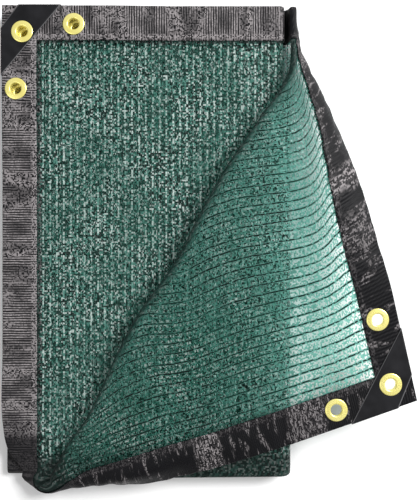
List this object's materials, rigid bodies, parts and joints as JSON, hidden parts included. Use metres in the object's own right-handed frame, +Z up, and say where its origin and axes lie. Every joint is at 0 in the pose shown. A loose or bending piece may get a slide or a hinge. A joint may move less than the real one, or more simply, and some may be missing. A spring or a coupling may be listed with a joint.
{
  "type": "folded shade cloth",
  "caption": "Knitted mesh shade cloth with taped edges, corner patches and brass eyelets, folded in quarters with one corner turned back.",
  "frame": {"origin": "centre of the folded stack's flat underside, on the surface it lies on", "axes": "+Z up from the surface, +Y along the stack's length towards its open corners, +X across it towards the lengthwise fold and the turned-back corner"},
  "size_m": [0.3863, 0.4631, 0.0512],
  "materials": {
    "knit": "dark green open knitted mesh, slightly glossy yarn",
    "tape": "black woven binding tape with a light grey sheen",
    "patch": "smooth black satin",
    "eyelet": "bright polished"
  },
  "bodies": {
    "root": {"panel": "knit", "tape_left_flap": "tape", "tape_left_base": "tape", "tape_back_upper": "tape", "tape_back_flap": "tape", "patch_upper": "patch", "patch_lower": "patch", "patch_base": "patch", "patch_flap": "patch", "eyelet_upper_corner": "eyelet", "eyelet_upper_back": "eyelet", "eyelet_upper_left": "eyelet", "eyelet_lower_corner": "eyelet", "eyelet_lower_back": "eyelet", "eyelet_lower_left": "eyelet", "eyelet_base_corner": "eyelet", "eyelet_base_back": "eyelet", "eyelet_base_left": "eyelet", "eyelet_flap_corner": "eyelet", "eyelet_flap_back": "eyelet", "eyelet_flap_left": "eyelet"}
  },
  "joints": []
}
